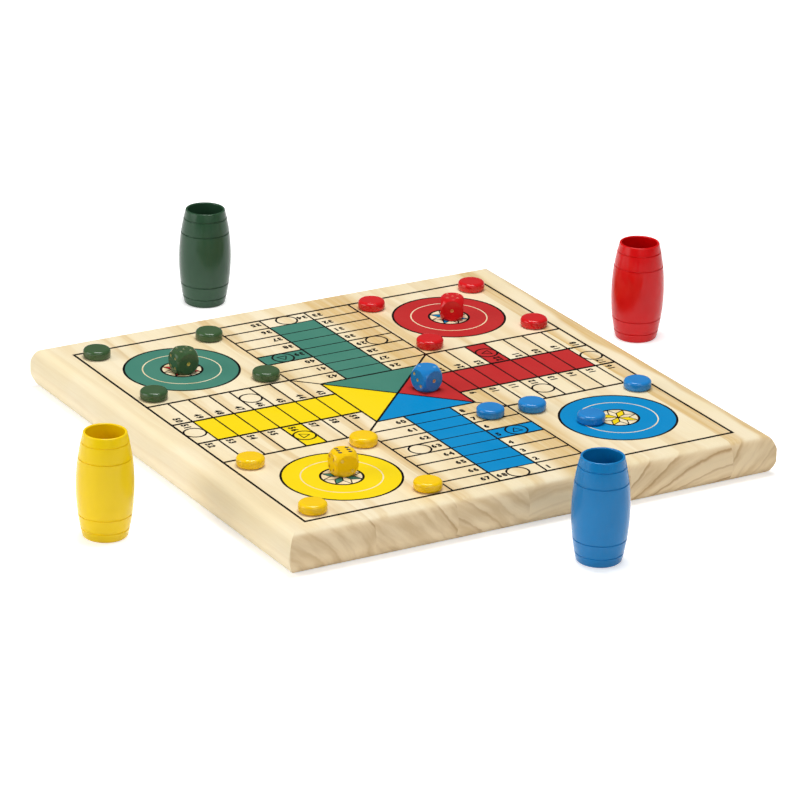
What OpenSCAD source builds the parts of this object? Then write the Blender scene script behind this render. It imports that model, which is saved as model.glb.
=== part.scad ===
// Four-player parchis set: a thick flat board glued up from pine staves, with turned
// counters, rounded dice and barrel-shaped dice cups in four colours.
// Millimetres. The origin is the centre of the board's underside, +Z is up.

/* [Board] */
// Side of the square board
board_side = 331.5; // [320:0.5:380]
// Thickness of the board
board_t = 25; // [18:0.5:32]
// Radius of the arc down the middle of the board's rounded edges
edge_belly_r = 18.8; // [18:0.1:40]
// Radius of the smaller arcs that lead from it into the flat faces
edge_r = 6; // [2:0.5:8.5]
// Radius of the board's upright corners
corner_r = 1.5; // [0.5:0.5:6]

/* [Playing field] */
// Bare margin left round the printed field, if it were centred on the board
field_margin = 20.25; // [15:0.05:24]
// Length of one cell of the track, across an arm of the cross
cell_l = 32.1; // [28:0.1:33]
// How far the field lies off the board's middle, along X
field_x = -1.4; // [-4:0.1:4]
// How far the field lies off the board's middle, along Y
field_y = -3.4; // [-4:0.1:4]

/* [Counters] */
// Diameter of a counter
counter_d = 17; // [14:0.1:20]
// Height of a counter
counter_h = 6; // [4.5:0.1:9]
// Radius of a counter's rounded edges
counter_r = 2; // [0.5:0.1:2.2]

/* [Dice] */
// Width of a die between opposite faces
die_w = 14.5; // [13:0.1:16]
// Diameter of the round flat left on each face of a die
die_face_d = 12.8; // [10:0.1:12.9]
// Distance from a face's middle to its outer pips, along each side
pip_pitch = 3.2; // [2.6:0.1:3.4]
// Diameter of a pip
pip_d = 2.5; // [1.6:0.1:2.5]
// Depth of a pip
pip_depth = 0.4; // [0.2:0.05:0.8]

/* [Dice cups] */
// Height of a cup
cup_h = 64; // [52:0.5:80]
// Largest diameter of the barrel
cup_belly_d = 33.7; // [30:0.1:40]
// Outer diameter at the rim
cup_rim_d = 25.6; // [25:0.1:29]
// Diameter at the foot
cup_foot_d = 26.1; // [23:0.1:29]
// Diameter of the bore
cup_bore_d = 22.5; // [18:0.1:23]
// Thickness of the cup's floor
cup_floor_t = 9; // [3:0.5:14]
// Width of the bevel round the foot
cup_bevel = 0.6; // [0.2:0.1:1.5]
// Radius of the turned grooves
groove_r = 0.45; // [0.2:0.05:0.8]
// Height of the lower foot groove above the foot
groove_foot_1 = 5.8; // [3:0.1:8]
// Height of the upper foot groove above the foot
groove_foot_2 = 14.5; // [10:0.1:18]
// Depth of the upper rim groove below the rim
groove_rim_1 = 5.6; // [4:0.1:12]
// Depth of the lower rim groove below the rim
groove_rim_2 = 15.1; // [14:0.1:22]

/* [Hidden] */

$fn = 96;
BULGE_FN = 720;
PINE = [0.93, 0.84, 0.67];
NAMES = ["green", "red", "blue", "yellow"];
PAINTS = [[0.16, 0.33, 0.23], [0.78, 0.09, 0.10], [0.13, 0.45, 0.76], [0.96, 0.72, 0.10]];

// Widths of the pine staves from -X to +X, scaled together so that they fill the board's side
STAVE_W = [56.05, 54.3, 47.9, 69.5, 72, 31.75];
half = board_side / 2;
function width_before(i) = i == 0 ? 0 : STAVE_W[i - 1] + width_before(i - 1);
function joint_x(i) = board_side * (width_before(i) / width_before(len(STAVE_W)) - 1 / 2);

// Where the edge's smaller arcs are centred, and how far from mid-height they meet the belly
edge_x = half - edge_belly_r + sqrt(pow(edge_belly_r - edge_r, 2) - pow(board_t / 2 - edge_r, 2));
edge_meet = (board_t / 2 - edge_r) * edge_belly_r / (edge_belly_r - edge_r);

// The printed field is a cross of four arms, each three cells wide, with a home in each corner.
ARM_COLUMNS = 3;
arm_half = ARM_COLUMNS * cell_l / 2;
field_half = half - field_margin;
home_at = (arm_half + field_half) / 2;
// Each colour's home square, as a sign along X and along Y
HOME_SIGN = [[-1, 1], [1, 1], [1, -1], [-1, -1]];
function home(c) = [field_x + HOME_SIGN[c].x * home_at, field_y + HOME_SIGN[c].y * home_at];

// Where each colour's counters lie, from the middle of its home square
COUNTERS_AT = [
    [[-37.5, 39.5], [38.6, 36], [-38, -37.2], [37.8, -39.1]],
    [[-38.5, 36.2], [35.7, 37.1], [37.1, -36.9], [-39.6, -38.2]],
    [[37.4, 37.8], [-65.7, 40.3], [-38.3, 37.2], [-17.2, 4.4]],
    [[-36.5, 38], [38.2, 36.2], [37.2, -39.7], [-37.5, -37.7]]
];
// Where each die lies, from the middle of its home square, and how far it is turned
DICE_AT = [[-1.5, -6.1], [-1.6, -1.1], [-77.7, 95.2], [5.4, 3]];
DICE_TURN = [-3, -31, 9, -9];
// What each die shows in front, on the left and on top
DICE_SHOW = [[1, 4, 5], [1, 4, 5], [1, 3, 2], [2, 4, 6]];
// Each cup stands by one side of the board: which way that side faces, how far along the side
// the cup's axis is from its middle, and how far out from it
CUP_SIDE = [[0, 1], [1, 0], [0, -1], [-1, 0]];
CUP_ALONG = [0.1, 66.5, 3.8, -62.1];
CUP_OUT = [81.25, 50.65, 56.95, 63.25];
function cup_at(c) =
    CUP_SIDE[c] * (half + CUP_OUT[c]) + [abs(CUP_SIDE[c].y), abs(CUP_SIDE[c].x)] * CUP_ALONG[c];

// Barrel side: one arc through the foot, the belly and the rim, where a half round lip closes it
belly_r = cup_belly_d / 2;
rim_r = cup_rim_d / 2;
foot_r = cup_foot_d / 2;
bore_r = cup_bore_d / 2;
lip_r = (rim_r - bore_r) / 2;
lip_z = cup_h - lip_r;
rim_share = sqrt((belly_r - rim_r) / (belly_r - foot_r));
belly_z = lip_z / (1 + rim_share);
bulge_r = (pow(belly_z, 2) + pow(belly_r - foot_r, 2)) / (2 * (belly_r - foot_r));
function side_r(z) = belly_r - bulge_r + sqrt(pow(bulge_r, 2) - pow(z - belly_z, 2));
GROOVES = [groove_foot_1, groove_foot_2, cup_h - groove_rim_2, cup_h - groove_rim_1];

die_ball_d = sqrt(pow(die_w, 2) + pow(die_face_d, 2));
pip_ball_r = (pow(pip_d / 2, 2) + pow(pip_depth, 2)) / (2 * pip_depth);
// Places of the pips for one to six, in steps of the pitch
ONE = [[0, 0]];
TWO = [[-1, 1], [1, -1]];
FOUR = concat(TWO, [[-1, -1], [1, 1]]);
PIPS = [ONE, TWO, concat(ONE, TWO), FOUR, concat(ONE, FOUR), concat(FOUR, [[-1, 0], [1, 0]])];
OPPOSITE_SUM = 7;
OVER = 1;

// Section through the board, whose rounded edges are one shallow arc between two smaller ones
module board_section() {
    square([2 * edge_x, board_t], center = true);
    for (x = [-1, 1], y = [-1, 1])
        translate([x * edge_x, y * (board_t / 2 - edge_r)]) circle(edge_r);
    for (x = [-1, 1])
        intersection() {
            translate([x * (half - edge_belly_r), 0]) circle(edge_belly_r, $fn = BULGE_FN);
            translate([x * half / 2, 0]) square([half + OVER, 2 * edge_meet], center = true);
        }
}

// The board's section, run from side to side along Y
module edge_run() {
    rotate([90, 0, 0]) linear_extrude(board_side + 2 * OVER, center = true) board_section();
}

// Outline of the board with its small corners
module outline() {
    side = board_side - 2 * corner_r;
    square([side, board_side], center = true);
    square([board_side, side], center = true);
    for (x = [-1, 1], y = [-1, 1]) translate([x * side / 2, y * side / 2]) circle(corner_r);
}

// The whole board: both edge profiles and the outline
module panel() {
    intersection() {
        translate([0, 0, board_t / 2]) edge_run();
        translate([0, 0, board_t / 2]) rotate([0, 0, 90]) edge_run();
        linear_extrude(board_t) outline();
    }
}

// One glued stave of the board
module stave(i) {
    color(PINE)
        intersection() {
            panel();
            translate([joint_x(i), -half - OVER, -OVER])
                cube([joint_x(i + 1) - joint_x(i), board_side + 2 * OVER, board_t + 2 * OVER]);
        }
}

// Turned disc with rounded edges
module counter(c, i) {
    at = home(c) + COUNTERS_AT[c][i];
    color(PAINTS[c])
        translate([at.x, at.y, board_t])
            rotate_extrude() {
                square([counter_d / 2 - counter_r, counter_h]);
                translate([0, counter_r]) square([counter_d / 2, counter_h - 2 * counter_r]);
                for (z = [counter_r, counter_h - counter_r])
                    translate([counter_d / 2 - counter_r, z]) circle(counter_r);
            }
}

// Shallow round pips of one face, cut into the face that looks up
module pips(value) {
    for (p = PIPS[value - 1])
        translate([p.x * pip_pitch, p.y * pip_pitch, die_w / 2 - pip_depth + pip_ball_r])
            sphere(pip_ball_r);
}

// Cube rounded by a ball, with pips on six faces whose opposites add up to seven
module die(c) {
    at = home(c) + DICE_AT[c];
    front = DICE_SHOW[c][0];
    left = DICE_SHOW[c][1];
    top = DICE_SHOW[c][2];
    color(PAINTS[c])
        translate([at.x, at.y, board_t + die_w / 2])
            rotate([0, 0, DICE_TURN[c]])
                difference() {
                    intersection() {
                        cube(die_w, center = true);
                        sphere(d = die_ball_d);
                    }
                    pips(top);
                    rotate([180, 0, 0]) pips(OPPOSITE_SUM - top);
                    rotate([90, 0, 0]) pips(front);
                    rotate([90, 0, 180]) pips(OPPOSITE_SUM - front);
                    rotate([90, 0, -90]) pips(left);
                    rotate([90, 0, 90]) pips(OPPOSITE_SUM - left);
                }
}

// Half section of a cup: barrel wall, floor, bevelled foot, round lip and turned grooves
module cup_section() {
    difference() {
        intersection() {
            square([belly_r, lip_z]);
            translate([belly_r - bulge_r, belly_z]) circle(bulge_r, $fn = BULGE_FN);
        }
        translate([-OVER, cup_floor_t]) square([bore_r + OVER, cup_h]);
        polygon([[foot_r - cup_bevel, 0], [foot_r + OVER, -OVER], [foot_r + OVER, cup_bevel + OVER]]);
        for (z = GROOVES) translate([side_r(z), z]) circle(groove_r);
    }
    translate([bore_r + lip_r, lip_z]) circle(lip_r);
}

// Turned dice cup, bored from the top, standing on the table
module cup(c) {
    color(PAINTS[c])
        translate([cup_at(c).x, cup_at(c).y, 0]) rotate_extrude() cup_section();
}

for (i = [0 : len(STAVE_W) - 1])
    stave(i);
for (c = [0 : len(NAMES) - 1]) {
    for (i = [0 : len(COUNTERS_AT[c]) - 1])
        counter(c, i);
    die(c);
    cup(c);
}
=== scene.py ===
import math

import bmesh
import bpy
from mathutils import Matrix, Vector


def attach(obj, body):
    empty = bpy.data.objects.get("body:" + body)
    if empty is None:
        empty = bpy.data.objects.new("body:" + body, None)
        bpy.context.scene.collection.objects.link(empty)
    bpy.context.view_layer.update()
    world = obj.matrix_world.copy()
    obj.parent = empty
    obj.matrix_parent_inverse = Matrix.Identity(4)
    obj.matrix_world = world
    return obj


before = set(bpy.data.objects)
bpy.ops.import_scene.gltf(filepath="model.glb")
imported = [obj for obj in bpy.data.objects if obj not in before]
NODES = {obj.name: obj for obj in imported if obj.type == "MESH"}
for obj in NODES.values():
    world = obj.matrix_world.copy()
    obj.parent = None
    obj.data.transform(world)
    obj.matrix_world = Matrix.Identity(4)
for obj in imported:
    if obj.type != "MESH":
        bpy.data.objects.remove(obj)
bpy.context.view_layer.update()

COLOURS = ["green", "red", "blue", "yellow"]


def lin(r, g, b):
    """A colour written in 0 to 255 as Blender's linear values."""
    def one(v):
        v /= 255
        return v / 12.92 if v <= 0.04045 else ((v + 0.055) / 1.055) ** 2.4
    return (one(r), one(g), one(b), 1.0)


def place(name, data):
    """A new object in the scene that holds data."""
    obj = bpy.data.objects.new(name, data)
    bpy.context.scene.collection.objects.link(obj)
    return obj


def mesh_object(name, bm, mats):
    """A new object from a bmesh, with its materials in order."""
    mesh = bpy.data.meshes.new(name)
    bm.to_mesh(mesh)
    bm.free()
    for mat in mats:
        mesh.materials.append(mat)
    return place(name, mesh)


def cover(node, mat):
    """Give a CAD node its one material."""
    slots = NODES[node].data.materials
    slots.clear()
    slots.append(mat)


# ---- Camera, fitted to the printed grid of the photograph ----
PHOTO_PX = 800
FOCAL_PX = 4654.1
SENSOR_MM = 36
EYE = Vector((-1.3373, -2.2495, 1.0641))
RIGHT = Vector((0.863401, -0.504047, 0.021822))
DOWN = Vector((-0.169509, -0.330555, -0.92844))
FORWARD = Vector((0.47519, 0.797916, -0.370842))

lens = bpy.data.cameras.new("camera")
lens.sensor_width = SENSOR_MM
lens.lens = FOCAL_PX / PHOTO_PX * SENSOR_MM
lens.clip_start = 0.05
lens.clip_end = 100
camera = place("camera", lens)
turn = Matrix((RIGHT, -DOWN, -FORWARD)).transposed().to_4x4()
camera.matrix_world = Matrix.Translation(EYE) @ turn
bpy.context.scene.camera = camera


# ---- Node helpers ----
class Nodes:
    """A material's node tree, with short ways to add and wire nodes."""

    def __init__(self, name):
        self.mat = bpy.data.materials.new(name)
        self.mat.use_nodes = True
        self.tree = self.mat.node_tree
        self.tree.nodes.clear()
        self.out = self.node("ShaderNodeOutputMaterial")

    def node(self, kind, **values):
        n = self.tree.nodes.new(kind)
        for k, v in values.items():
            setattr(n, k, v)
        return n

    def put(self, socket, value):
        """Wire an output to a socket, or set the socket to a plain value."""
        if isinstance(value, bpy.types.NodeSocket):
            self.tree.links.new(value, socket)
        else:
            socket.default_value = value

    def fill(self, n, *values):
        """Put values into a node's first inputs, and give its first output."""
        for socket, v in zip(n.inputs, values):
            self.put(socket, v)
        return n.outputs[0]

    def math(self, op, *values):
        return self.fill(self.node("ShaderNodeMath", operation=op), *values)

    def add(self, a, b):
        return self.math("ADD", a, b)

    def sub(self, a, b):
        return self.math("SUBTRACT", a, b)

    def mul(self, a, b):
        return self.math("MULTIPLY", a, b)

    def length(self, a, b):
        return self.math("SQRT", self.add(self.mul(a, a), self.mul(b, b)))

    def combine(self, x, y, z):
        return self.fill(self.node("ShaderNodeCombineXYZ"), x, y, z)

    def split(self, v):
        n = self.node("ShaderNodeSeparateXYZ")
        self.put(n.inputs[0], v)
        return n.outputs[:3]

    def scaled(self, at, scales, shift=0.0):
        """A point with each coordinate times its own scale, and shift added to the last one."""
        x, y, z = at
        up = self.add(self.mul(z, scales[2]), shift) if scales[2] else shift
        return self.combine(self.mul(x, scales[0]), self.mul(y, scales[1]), up)

    def noise(self, at, detail=2.0, rough=0.5, scale=1.0):
        n = self.node("ShaderNodeTexNoise")
        self.put(n.inputs["Vector"], at)
        n.inputs["Scale"].default_value = scale
        n.inputs["Detail"].default_value = detail
        n.inputs["Roughness"].default_value = rough
        return n.outputs["Fac"]

    def ramp(self, fac, lo, hi, a=0.0, b=1.0):
        """Smooth step of fac from lo to hi, giving a to b."""
        n = self.node("ShaderNodeMapRange", interpolation_type="SMOOTHSTEP")
        return self.fill(n, fac, lo, hi, a, b)

    def mix(self, fac, a, b):
        """Colour a where fac is 0, colour b where it is 1."""
        n = self.node("ShaderNodeMix", data_type="RGBA")
        for k, v in ((0, fac), (6, a), (7, b)):
            self.put(n.inputs[k], v)
        return n.outputs[2]

    def here(self):
        """The object's own coordinates, in millimetres."""
        n = self.node("ShaderNodeVectorMath", operation="MULTIPLY")
        return self.fill(n, self.node("ShaderNodeTexCoord").outputs["Object"], (1000, 1000, 1000))

    def bump(self, height, strength, distance):
        n = self.node("ShaderNodeBump")
        n.inputs["Strength"].default_value = strength
        n.inputs["Distance"].default_value = distance
        self.put(n.inputs["Height"], height)
        return n.outputs[0]

    def surface(self, colour, rough, normal, specular=0.5):
        """Finish the material as one shader, and return the material."""
        p = self.node("ShaderNodeBsdfPrincipled")
        self.put(p.inputs["Base Color"], colour)
        self.put(p.inputs["Roughness"], rough)
        p.inputs["Specular IOR Level"].default_value = specular
        self.put(p.inputs["Normal"], normal)
        self.put(self.out.inputs[0], p.outputs[0])
        return self.mat


# ---- Pine: rings about a pith that runs along Y, so end and long grain agree ----
# Per stave: pith across from the board's middle and up from its underside, ring pitch, phase, and
# bands of darker wood as (place across, half width, strength)
STAVES = [
    (-212, -46, 8.6, 0.15, [(-147, 5, 0.25), (-120, 4, 0.3)]),
    (-160, -52, 9.0, 0.55, [(-104, 3, 0.55), (-71, 4, 0.3)]),
    (-96, -70, 9.8, 0.30, [(-49, 6, 0.75), (-24, 6, 0.3)]),
    (18, -60, 9.5, 0.40, [(38, 17, 1.0), (-1, 4, 0.5)]),
    (143, -80, 9.2, 0.62, [(76, 3, 0.35), (112, 5, 0.3)]),
    (214, -34, 9.4, 0.20, [(138, 5.5, 1.0), (161, 5, 1.0)]),
]
STAVE_SHIFT = 37.0      # how far apart the staves read their noises

# Noise scales per millimetre: across, along and up the stave
STEM = (0.012, 0.006, 0.012)
UNEVEN = (0.16, 0.012, 0.16)
SWAY = (0.01, 0.011, 0)
STREAK = (0.35, 0.008, 0.3)
FIBRE = (2.2, 0.035, 2.2)
CLOUD = (0.03, 0.012, 0)

# How far the noises move things, in millimetres
STEM_X, STEM_Z = 16, 10
UNEVEN_R = 2.6
SWAY_X = 22

PALE = lin(247, 233, 201)
CREAM = lin(243, 226, 186)
TAN = lin(220, 186, 124)
RING = lin(206, 168, 106)
END = lin(243, 220, 180)
END_RING = lin(176, 134, 86)
END_SMEAR = lin(214, 184, 138)


def pine(i, pith_x, pith_z, pitch, phase, bands):
    """One stave's pine: long grain on top and on its sides, end grain on its two ends."""
    m = Nodes("pine_%d" % (i + 1))
    at = m.split(m.here())
    x, _, z = at
    far = STAVE_SHIFT * i

    # radius from the pith: the stem wanders slowly along the stave, and each ring is uneven
    wander = m.sub(m.noise(m.scaled(at, STEM, far)), 0.5)
    dx = m.add(m.sub(x, pith_x), m.mul(wander, STEM_X))
    dz = m.add(m.sub(z, pith_z), m.mul(wander, STEM_Z))
    uneven = m.sub(m.noise(m.scaled(at, UNEVEN, far), 3.0), 0.5)
    r = m.add(m.length(dx, dz), m.mul(uneven, UNEVEN_R))
    year = m.math("FRACT", m.add(m.math("DIVIDE", r, pitch), phase))

    # pale early wood, then a late wood line that ends sharply
    late = m.mul(m.ramp(year, 0.62, 0.94), m.ramp(year, 0.96, 1.0, 1.0, 0.0))
    broad = m.ramp(year, 0.25, 0.95)
    # which rings show strongly
    age = m.noise(m.combine(m.add(m.math("DIVIDE", r, pitch * 1.6), far), 0.5, 0.5), 1.0)
    show = m.ramp(age, 0.35, 0.7, 0.25, 1.0)

    # broad darker bands that sway along the stave
    sway = m.mul(m.sub(m.noise(m.scaled(at, SWAY, far + 9), 2.5), 0.5), SWAY_X)
    dark = 0.0
    for middle, half, strength in bands:
        off = m.math("ABSOLUTE", m.sub(m.add(x, sway), middle))
        band = m.ramp(off, half * 0.55, half * 1.45, strength, 0.0)
        dark = m.math("MAXIMUM", dark, band)
    streak = m.noise(m.scaled(at, STREAK, far), 3.0, 0.6)
    fibre = m.noise(m.scaled(at, FIBRE, far), 3.0, 0.6)
    cloud = m.noise(m.scaled(at, CLOUD, far))

    # long grain
    long_c = m.mix(m.ramp(cloud, 0.3, 0.7), PALE, CREAM)
    long_c = m.mix(m.mul(dark, m.ramp(streak, 0.25, 0.7, 0.45, 1.0)), long_c, TAN)
    long_c = m.mix(m.mul(broad, m.mul(show, 0.16)), long_c, TAN)
    late_by = m.mul(show, m.add(0.16, m.mul(dark, 0.4)))
    long_c = m.mix(m.mul(late, late_by), long_c, RING)
    long_c = m.mix(m.ramp(fibre, 0.35, 0.75, 0.0, 0.10), long_c, RING)

    # end grain: rougher and darker, with smears that follow the rings, and fine pores
    pore = m.noise(m.combine(m.mul(x, 1.6), far, m.mul(z, 1.6)), 4.0, 0.7)
    smear = m.noise(m.combine(m.mul(r, 0.16), far + 3, m.mul(z, 0.045)), 3.0)
    bold = m.ramp(age, 0.42, 0.62, 0.12, 1.0)
    line = m.mul(m.ramp(year, 0.74, 0.92), m.ramp(year, 0.93, 1.0, 1.0, 0.0))
    end_c = m.mix(m.ramp(smear, 0.32, 0.68, 0.0, 0.75), END, END_SMEAR)
    end_c = m.mix(m.mul(broad, m.mul(bold, 0.1)), end_c, END_RING)
    end_c = m.mix(m.mul(line, m.mul(bold, 0.62)), end_c, END_RING)
    end_c = m.mix(m.ramp(pore, 0.58, 0.74, 0.0, 0.3), end_c, END_RING)

    # the end grain takes over where the face turns towards Y
    normal = m.node("ShaderNodeNewGeometry").outputs["Normal"]
    endness = m.ramp(m.math("ABSOLUTE", m.split(normal)[1]), 0.45, 0.88)
    colour = m.mix(endness, long_c, end_c)
    height = m.add(m.mul(fibre, m.sub(1.0, endness)), m.mul(pore, m.mul(endness, 0.4)))
    rough = m.add(0.42, m.mul(endness, 0.18))
    return m.surface(colour, rough, m.bump(height, 0.25, 0.00015), specular=0.2)


for i, spec in enumerate(STAVES):
    cover("stave_%d" % (i + 1), pine(i, *spec))


# ---- Gloss paint on turned wood ----
def paint(name, colour, shade, rough, specular, turned=False):
    """Lacquered paint: slightly uneven in tone, with a faint ripple."""
    m = Nodes(name)
    at = m.here()
    base = m.mix(m.ramp(m.noise(at, scale=0.06), 0.25, 0.75), colour, shade)
    height = m.mul(m.noise(at, scale=0.35), 0.5)
    if turned:
        # marks of the lathe run round the piece
        lathe = m.noise(m.combine(0.0, 0.0, m.mul(m.split(at)[2], 1.9)))
        height = m.add(height, m.mul(lathe, 0.4))
    rough_at = m.ramp(m.noise(at, scale=0.2), 0.3, 0.7, rough - 0.03, rough + 0.04)
    return m.surface(base, rough_at, m.bump(height, 0.15, 0.0001), specular)


# Paint of the counters and dice, and of the cups: the colour and its shade
TINTS = {
    "green": (lin(64, 93, 57), lin(58, 87, 53)),
    "red": (lin(217, 22, 27), lin(210, 19, 25)),
    "blue": (lin(36, 135, 208), lin(30, 128, 200)),
    "yellow": (lin(253, 207, 8), lin(249, 202, 6)),
}
CUP_TINTS = {
    "green": (lin(46, 80, 56), lin(42, 76, 52)),
    "red": (lin(221, 4, 8), lin(214, 3, 6)),
    "blue": (lin(12, 129, 195), lin(8, 124, 189)),
    "yellow": (lin(255, 217, 1), lin(253, 213, 1)),
}
for name in COLOURS:
    disc = paint(name + "_counter_paint", *TINTS[name], rough=0.12, specular=0.42)
    cube = paint(name + "_die_paint", *TINTS[name], rough=0.17, specular=0.36)
    barrel = paint(name + "_cup_paint", *CUP_TINTS[name], rough=0.2, specular=0.3, turned=True)
    for k in range(1, 5):
        cover("%s_counter_%d" % (name, k), disc)
    cover(name + "_die", cube)
    cover(name + "_cup", barrel)


# ---- Flat print on the board: every shape is a list of outlines in the field's millimetres ----
FIELD = Vector((-1.4, -3.4))        # the field's middle, from the board's middle
TOP = 25.0                          # height of the printed face
FILL_Z = TOP + 0.02
LINE_Z = TOP + 0.04
MARK_Z = LINE_Z + 0.005
DIGIT_Z = LINE_Z + 0.01
HALF = 145.5                        # half of the field
ARM = 48.15                         # half of an arm's width
CELL = 32.1                         # width of a cell
ROW = (HALF - ARM) / 7              # depth of a cell
INNER = ARM - ROW                   # half of the centre square
# Shapes are written in the blue arm's frame, and each next arm is a quarter turn on
ARM_OF = ["blue", "red", "green", "yellow"]


def spin(p, k):
    """A point of the blue arm, turned to arm k."""
    x, y = p
    for _ in range(k):
        x, y = -y, x
    return (x, y)


def spin_all(outlines, k):
    """Outlines of the blue arm, turned to arm k."""
    return [[spin(p, k) for p in outline] for outline in outlines]


def make(name, outlines, z, mat):
    """One mesh piece from flat outlines, lying at height z and riding on the board."""
    bm = bmesh.new()
    for outline in outlines:
        face = bm.faces.new([
            bm.verts.new(((x + FIELD.x) / 1000, (y + FIELD.y) / 1000, z / 1000))
            for x, y in outline
        ])
        face.normal_update()
        if face.normal.z < 0:
            face.normal_flip()
    bmesh.ops.remove_doubles(bm, verts=bm.verts, dist=1e-6)
    obj = mesh_object(name, bm, [mat])
    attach(obj, "board")


def rect(x0, y0, x1, y1):
    return [(x0, y0), (x1, y0), (x1, y1), (x0, y1)]


def polar(middle, r, angle):
    """The point at a radius and an angle in radians about a middle."""
    return (middle[0] + r * math.cos(angle), middle[1] + r * math.sin(angle))


def ring(middle, r0, r1, steps):
    """Quads of a ring between two radii."""
    angles = [2 * math.pi * k / steps for k in range(steps + 1)]
    return [
        [polar(middle, r0, a), polar(middle, r1, a), polar(middle, r1, b), polar(middle, r0, b)]
        for a, b in zip(angles, angles[1:])
    ]


def stroke(p, q, w):
    """A straight line of width w from p to q."""
    p, q = Vector(p), Vector(q)
    d = (q - p).normalized()
    s = Vector((-d.y, d.x)) * w / 2
    return [tuple(p + s), tuple(q + s), tuple(q - s), tuple(p - s)]


def grid_faces(rects):
    """The union of upright rectangles as quads that share their corners."""
    xs = sorted({round(v, 4) for r in rects for v in (r[0][0], r[2][0])})
    ys = sorted({round(v, 4) for r in rects for v in (r[0][1], r[2][1])})
    out = []
    for x0, x1 in zip(xs, xs[1:]):
        for y0, y1 in zip(ys, ys[1:]):
            mx, my = (x0 + x1) / 2, (y0 + y1) / 2
            if any(r[0][0] < mx < r[2][0] and r[0][1] < my < r[2][1] for r in rects):
                out.append(rect(x0, y0, x1, y1))
    return out


def ink(name, colour, through):
    """Screen ink with the grain of the wood faintly in it."""
    m = Nodes(name)
    at = m.split(m.here())
    grain = m.noise(m.scaled(at, (1.1, 0.03, 0)), 3.0, 0.6)
    cloud = m.noise(m.scaled(at, (0.05, 0.03, 0), 4.0), 3.0)
    c = m.mix(m.ramp(grain, 0.35, 0.75, 0.0, 0.22), colour, through)
    c = m.mix(m.ramp(cloud, 0.35, 0.7, 0.0, 0.25), c, through)
    rough = m.ramp(grain, 0.3, 0.7, 0.42, 0.52)
    return m.surface(c, rough, m.bump(grain, 0.15, 0.0001), specular=0.06)


INKS = {
    "blue": ink("ink_blue", lin(2, 134, 195), lin(32, 143, 200)),
    "red": ink("ink_red", lin(188, 42, 43), lin(195, 62, 59)),
    "green": ink("ink_green", lin(67, 127, 110), lin(84, 138, 120)),
    "yellow": ink("ink_yellow", lin(243, 212, 14), lin(242, 214, 42)),
}
BLACK = ink("ink_black", lin(12, 9, 8), lin(34, 27, 21))

# Homes: a coloured disc with a bare circle in it, about a bare disc with a star
HOME = (97.6, -94.3)
DISC_R, PALE_R, STAR_R = 35.2, 24.0, 12.6
PALE_HALF = 0.4                     # half the width of the bare circle
STAR_SIDE = 6.55                    # each side of the star's eight kites
STAR_HALF = 22.5                    # half the angle of each kite, in degrees
STAR_OF = {"blue": "yellow", "red": "blue", "green": "red", "yellow": "green"}
# Safe cells: circles on both sides of the arm, the one at +X coloured, and one at the arm's end
SAFE_X, RING_R = 33.2, 6.75
SAFE_Y = -(HALF - 4.5 * ROW)
END_Y = -(HALF - 0.5 * ROW)

fills = {c: [] for c in COLOURS}
kite_tip = 2 * STAR_SIDE * math.cos(math.radians(STAR_HALF))
for k, c in enumerate(ARM_OF):
    shapes = [
        rect(-CELL / 2, -(HALF - ROW), CELL / 2, -INNER),
        rect(CELL / 2, SAFE_Y - ROW / 2, ARM, SAFE_Y + ROW / 2),
        [(-INNER, -INNER), (INNER, -INNER), (0, 0)],
    ]
    shapes += ring(HOME, PALE_R + PALE_HALF, DISC_R, 144)
    shapes += ring(HOME, STAR_R, PALE_R - PALE_HALF, 144)
    fills[c] += spin_all(shapes, k)
    for a in (45, 135, 225, 315):
        corners = ((a - STAR_HALF, STAR_SIDE), (a, kite_tip), (a + STAR_HALF, STAR_SIDE))
        kite = [HOME] + [polar(HOME, r, math.radians(t)) for t, r in corners]
        fills[STAR_OF[c]] += spin_all([kite], k)
for c in COLOURS:
    make("print_" + c, fills[c], FILL_Z, INKS[c])

# Straight black lines: their widths, and factors on these
ALONG_Y, ALONG_X = 1.3, 1.6
FRAME_BOLD = 1.22                   # the field's outer frame
SIDE_BOLD = 1.25                    # sides and columns of the arms that lie along X
# the screened colours of the home rows swallow part of the lines between their cells
HOME_ROW_X, HOME_ROW_Y = 0.62, 0.85


def bar(x0, y0, x1, y1, bold=1.0):
    """A straight line between two points, along X or along Y."""
    a, b = bold * ALONG_Y / 2, bold * ALONG_X / 2
    return rect(min(x0, x1) - a, min(y0, y1) - b, max(x0, x1) + a, max(y0, y1) + b)


bars = []
for s in (-1, 1):
    bars += [
        bar(-HALF, s * HALF, HALF, s * HALF, FRAME_BOLD),
        bar(s * HALF, -HALF, s * HALF, HALF, FRAME_BOLD),
        bar(-INNER, s * INNER, INNER, s * INNER),
        bar(s * INNER, -INNER, s * INNER, INNER),
    ]
    for at, start in ((ARM, ARM), (CELL / 2, INNER)):
        for t in (-at, at):
            bars += [
                bar(t, s * start, t, s * HALF),
                bar(s * start, t, s * HALF, t, SIDE_BOLD),
            ]
    for n in range(7):
        v = s * (ARM + n * ROW)
        for t in (-1, 1):
            bars += [bar(t * CELL / 2, v, t * ARM, v), bar(v, t * CELL / 2, v, t * ARM)]
        bars += [
            bar(-CELL / 2, v, CELL / 2, v, HOME_ROW_X),
            bar(v, -CELL / 2, v, CELL / 2, HOME_ROW_Y),
        ]
make("print_lines", grid_faces(bars), LINE_Z, BLACK)

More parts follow.
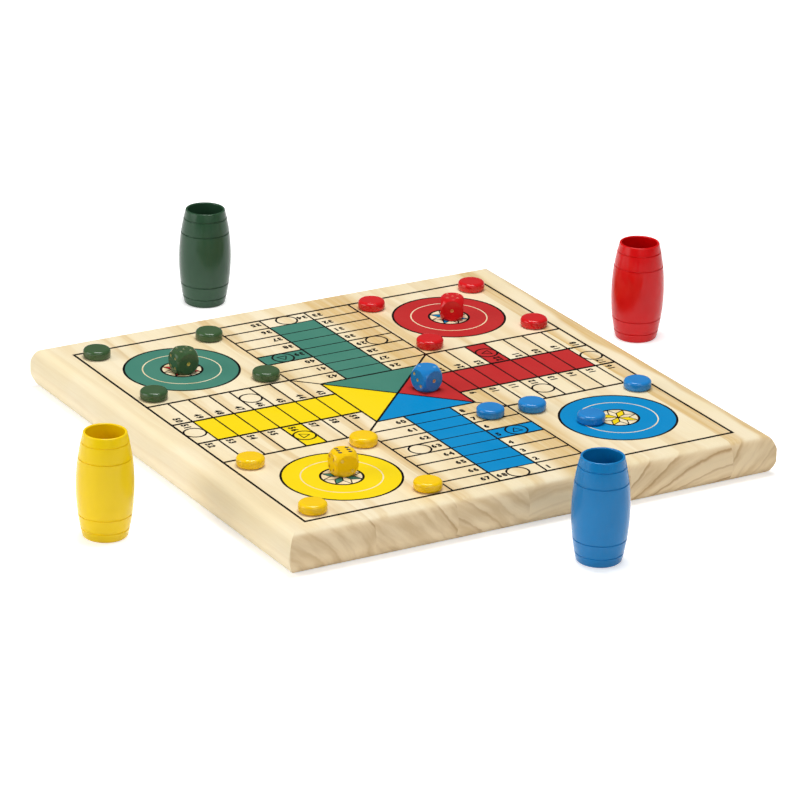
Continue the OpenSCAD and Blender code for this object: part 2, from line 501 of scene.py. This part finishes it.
# Diagonals, circles, triangles and the lines of the stars: line widths
DIAGONAL_W = 1.35
TRIANGLE_W = 0.75
STAR_W = 0.7
DISC_IN, DISC_OUT = 0.5, 0.9        # the disc's outline, to both sides of its edge
STAR_RING_HALF = 0.7
SAFE_RING_HALF = 0.6
TRIANGLE_R, TRIANGLE_DOWN = 3.8, 0.4
TIP_GAP = 0.3                       # from a star's tip to the circle's middle line

marks = []
for k in range(4):
    group = [stroke((ARM, -ARM), (0, 0), DIAGONAL_W)]
    group += ring(HOME, DISC_R - DISC_IN, DISC_R + DISC_OUT, 144)
    group += ring(HOME, STAR_R - STAR_RING_HALF, STAR_R + STAR_RING_HALF, 96)
    for middle in ((-SAFE_X, SAFE_Y), (SAFE_X, SAFE_Y), (0, END_Y)):
        group += ring(middle, RING_R - SAFE_RING_HALF, RING_R + SAFE_RING_HALF, 72)
    tri_middle = (SAFE_X, SAFE_Y - TRIANGLE_DOWN)
    tri = [polar(tri_middle, TRIANGLE_R, math.radians(t)) for t in (90, 210, 330)]
    for a in range(3):
        group.append(stroke(tri[a], tri[(a + 1) % 3], TRIANGLE_W))
    for a in range(0, 360, 45):
        tip = polar(HOME, STAR_R - TIP_GAP, math.radians(a))
        before = polar(HOME, STAR_SIDE, math.radians(a - STAR_HALF))
        after = polar(HOME, STAR_SIDE, math.radians(a + STAR_HALF))
        group += [stroke(p, q, STAR_W) for p, q in ((after, tip), (before, tip), (HOME, after))]
    marks += spin_all(group, k)
make("print_marks", marks, MARK_Z, BLACK)


# ---- Numbers of the track ----
TRACK = 68                          # cells of the track, a quarter of them from each arm
DIGIT_H, DIGIT_W, ADVANCE = 4.9, 0.93, 3.65
GLYPH_STEPS, GLYPH_BOLD = 4, 0.06
# Middle of a number with one digit and with two, across the arm, and its shift along the arm
UP_AT, UP_SHIFT = (20.0, 21.4), -1.1
DOWN_AT, DOWN_SHIFT = (-20.2, -21.9), 0.2
END_AT = -11.1


def glyph(ch):
    """Outline mesh of one digit, one unit high, with its left edge at zero."""
    curve = bpy.data.curves.new("digit_" + ch, "FONT")
    curve.body = ch
    curve.resolution_u = GLYPH_STEPS
    curve.offset = GLYPH_BOLD
    obj = place("digit_" + ch, curve)
    bpy.context.view_layer.update()
    mesh = bpy.data.meshes.new_from_object(obj)
    co = [v.co.copy() for v in mesh.vertices]
    x0, x1 = min(c.x for c in co), max(c.x for c in co)
    y0, y1 = min(c.y for c in co), max(c.y for c in co)
    high = y1 - y0
    points = [((c.x - x0) / high, (c.y - y0) / high) for c in co]
    faces = [list(p.vertices) for p in mesh.polygons]
    bpy.data.objects.remove(obj)
    bpy.data.curves.remove(curve)
    bpy.data.meshes.remove(mesh)
    return points, faces, (x1 - x0) / high


GLYPHS = {ch: glyph(ch) for ch in "0123456789"}


def number(n, cx, cy, k):
    """Faces of a number centred at a place in the blue arm's own frame, turned to arm k."""
    out = []
    text = str(n)
    for i, ch in enumerate(text):
        points, faces, wide = GLYPHS[ch]
        middle = cx + (i - (len(text) - 1) / 2) * ADVANCE
        put = [
            (middle + (px - wide / 2) * DIGIT_H * DIGIT_W, cy + (py - 0.5) * DIGIT_H)
            for px, py in points
        ]
        out += spin_all([[put[v] for v in f] for f in faces], k)
    return out


digits = []
for k in range(4):
    # the arm's +X side counts up from its end, its -X side counts up to its end
    first = 1 + k * TRACK // 4
    for n in range(8):
        y = -(HALF - (n + 0.5) * ROW)
        up = first + n
        down = (first - 3 - n) % TRACK + 1
        digits += number(up, UP_AT[up > 9], y + UP_SHIFT, k)
        digits += number(down, DOWN_AT[down > 9], y + DOWN_SHIFT, k)
    digits += number((first - 2) % TRACK + 1, END_AT, END_Y, k)
make("print_numbers", digits, DIGIT_Z, BLACK)


# ---- Pips: a skin of paint in each hollow of the dice ----
HOME_SIGN = {"green": (-1, 1), "red": (1, 1), "blue": (1, -1), "yellow": (-1, -1)}
HOME_AT = (ARM + HALF) / 2
# Each die's place from its home's middle, its turn in degrees, and its front, left and top values
DICE_AT = {"green": (-1.5, -6.1), "red": (-1.6, -1.1), "blue": (-77.7, 95.2), "yellow": (5.4, 3)}
DICE_TURN = {"green": -3, "red": -31, "blue": 9, "yellow": -9}
DICE_SHOW = {"green": (1, 4, 5), "red": (1, 4, 5), "blue": (1, 3, 2), "yellow": (2, 4, 6)}
DIE_W, PIP_PITCH, PIP_D, PIP_DEPTH = 14.5, 3.2, 2.5, 0.4
BALL = ((PIP_D / 2) ** 2 + PIP_DEPTH ** 2) / (2 * PIP_DEPTH)
SKIN = BALL - 0.03                  # the paint lies this far from the ball's middle
RIM = 0.05                          # bare rim of the widest paint
LOOPS, AROUND = 5, 24
TWO = [(-1, 1), (1, -1)]
FOUR = TWO + [(-1, -1), (1, 1)]
PIPS = [[(0, 0)], TWO, [(0, 0)] + TWO, FOUR, [(0, 0)] + FOUR, FOUR + [(-1, 0), (1, 0)]]

# Paint in the hollows of the front, left and top faces, each face's pips with a colour of their
# own, brightest on the front and dimmest on top: colour, its darker patches, and how much of the
# hollow it covers
SIDES = ("front", "left", "top")
PIP_TONES = {
    "green": [
        ((206, 184, 84), (186, 162, 66), 1.0),
        ((172, 150, 66), (150, 132, 60), 0.8),
        ((92, 108, 60), (84, 98, 56), 0.9),
    ],
    "red": [
        ((228, 132, 66), (214, 116, 58), 1.0),
        ((214, 96, 50), (202, 84, 46), 0.9),
        ((206, 84, 62), (196, 72, 54), 0.9),
    ],
    "blue": [
        ((214, 160, 96), (198, 144, 84), 1.0),
        ((184, 166, 96), (168, 150, 88), 0.85),
        ((96, 156, 200), (84, 148, 196), 0.9),
    ],
    "yellow": [
        ((250, 216, 92), (244, 208, 80), 0.9),
        ((196, 146, 30), (184, 132, 26), 0.9),
        ((64, 50, 20), (80, 62, 24), 1.0),
    ],
}


def pip_paint(name, colour, shade):
    """Dull paint with darker patches, as it is left in a hollow."""
    m = Nodes(name)
    tone = m.noise(m.here(), scale=1.3)
    base = m.mix(m.ramp(tone, 0.35, 0.65), colour, shade)
    return m.surface(base, m.ramp(tone, 0.3, 0.7, 0.3, 0.42), m.bump(tone, 0.2, 0.00005))


def about(axis, degrees):
    """A turn about an axis."""
    return Matrix.Rotation(math.radians(degrees), 4, axis)


def pip(bm, put, middle, reach, tone):
    """One hollow's paint: loops about its lowest point, out to an angle at the ball's middle."""
    def at(t, a):
        out = Vector((math.sin(t) * math.cos(a), math.sin(t) * math.sin(a), -math.cos(t)))
        return bm.verts.new(put @ ((middle + out * SKIN) / 1000))

    tip = at(0, 0)
    last = None
    for j in range(1, LOOPS + 1):
        loop = [at(reach * j / LOOPS, 2 * math.pi * q / AROUND) for q in range(AROUND)]
        for q in range(AROUND):
            after = (q + 1) % AROUND
            inside = [last[q]] if last else [tip]
            close = [last[after]] if last else []
            face = bm.faces.new(inside + [loop[q], loop[after]] + close)
            face.material_index = tone
            face.smooth = True
        last = loop


UPRIGHT = about("X", 90)
# Turns from the top face to the front, left and top faces, and to those opposite
FACINGS = [
    (UPRIGHT, about("Z", 180) @ UPRIGHT),
    (about("Z", -90) @ UPRIGHT, about("Z", 90) @ UPRIGHT),
    (Matrix.Identity(4), about("X", 180)),
]
for c in COLOURS:
    mats = [
        pip_paint("pip_paint_%s_%s" % (c, side), lin(*colour), lin(*shade))
        for side, (colour, shade, _) in zip(SIDES, PIP_TONES[c])
    ]
    x = FIELD.x + HOME_SIGN[c][0] * HOME_AT + DICE_AT[c][0]
    y = FIELD.y + HOME_SIGN[c][1] * HOME_AT + DICE_AT[c][1]
    stand = Matrix.Translation((x / 1000, y / 1000, (TOP + DIE_W / 2) / 1000))
    stand = stand @ about("Z", DICE_TURN[c])
    bm = bmesh.new()
    for tone, (value, facing) in enumerate(zip(DICE_SHOW[c], FACINGS)):
        reach = math.asin((PIP_D / 2 - RIM) / BALL * PIP_TONES[c][tone][2])
        for shown, side in zip((value, 7 - value), facing):
            for px, py in PIPS[shown - 1]:
                middle = Vector((px * PIP_PITCH, py * PIP_PITCH, DIE_W / 2 - PIP_DEPTH + BALL))
                pip(bm, stand @ side, middle, reach, tone)
    obj = mesh_object(c + "_die_pips", bm, mats)
    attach(obj, c + "_die")


# ---- Floor: white to the camera, with the object's shadow kept ----
FLOOR_M = 40
FLOOR_TONE = 0.92
# The lamps fade far from the object, so the glow makes up for them there
GLOW_NEAR, GLOW_FAR = 0.5, 1.0
FADE_FROM, FADE_TO = 800, 2000      # in millimetres from the frame's origin

bpy.ops.mesh.primitive_plane_add(size=FLOOR_M, location=(0, 0, 0))
floor = bpy.context.object
floor.name = "floor"
m = Nodes("floor_white")
diffuse = m.node("ShaderNodeBsdfDiffuse")
diffuse.inputs[0].default_value = (FLOOR_TONE, FLOOR_TONE, FLOOR_TONE, 1)
path = m.node("ShaderNodeLightPath").outputs
mirrored = m.math("MAXIMUM", path["Is Glossy Ray"], path["Is Transmission Ray"])
seen = m.math("MAXIMUM", path["Is Camera Ray"], mirrored)
away = m.length(*m.split(m.here())[:2])
glow = m.node("ShaderNodeEmission")
strength = m.ramp(away, FADE_FROM, FADE_TO, GLOW_NEAR, GLOW_FAR)
m.put(glow.inputs["Strength"], m.mul(seen, strength))
both = m.fill(m.node("ShaderNodeAddShader"), diffuse.outputs[0], glow.outputs[0])
m.put(m.out.inputs[0], both)
floor.data.materials.append(m.mat)


# ---- Light ----
WORLD_STRENGTH = 0.15
# Name, place, width, height, watts, and roll in degrees; each faces the frame's origin
LAMPS = [
    ("overhead", (0.05, 0.1, 1.5), 1.0, 0.5, 19.5, -30.3),
    ("left", (-1.5, 0.4, 0.6), 1.1, 1.0, 9.5, 0.0),
    ("front", (-0.35, -1.9, 0.9), 1.8, 1.0, 9.0, 0.0),
]

world = bpy.data.worlds.new("studio")
bpy.context.scene.world = world
world.use_nodes = True
tree = world.node_tree
tree.nodes.clear()
back = tree.nodes.new("ShaderNodeBackground")
back.inputs["Color"].default_value = (1, 1, 1, 1)
back.inputs["Strength"].default_value = WORLD_STRENGTH
tree.links.new(back.outputs[0], tree.nodes.new("ShaderNodeOutputWorld").inputs[0])


def softbox(name, at, wide, high, watts, roll):
    """A rectangular softbox, seen in reflections but not by the camera."""
    data = bpy.data.lights.new(name, "AREA")
    data.shape = "RECTANGLE"
    data.size = wide
    data.size_y = high
    data.energy = watts
    obj = place(name, data)
    obj.location = at
    facing = (-Vector(at)).to_track_quat("-Z", "Y").to_matrix()
    obj.rotation_euler = (Matrix.Rotation(math.radians(roll), 3, "Z") @ facing).to_euler()
    obj.visible_camera = False


for lamp in LAMPS:
    softbox(*lamp)

bpy.context.scene.view_settings.view_transform = "Standard"
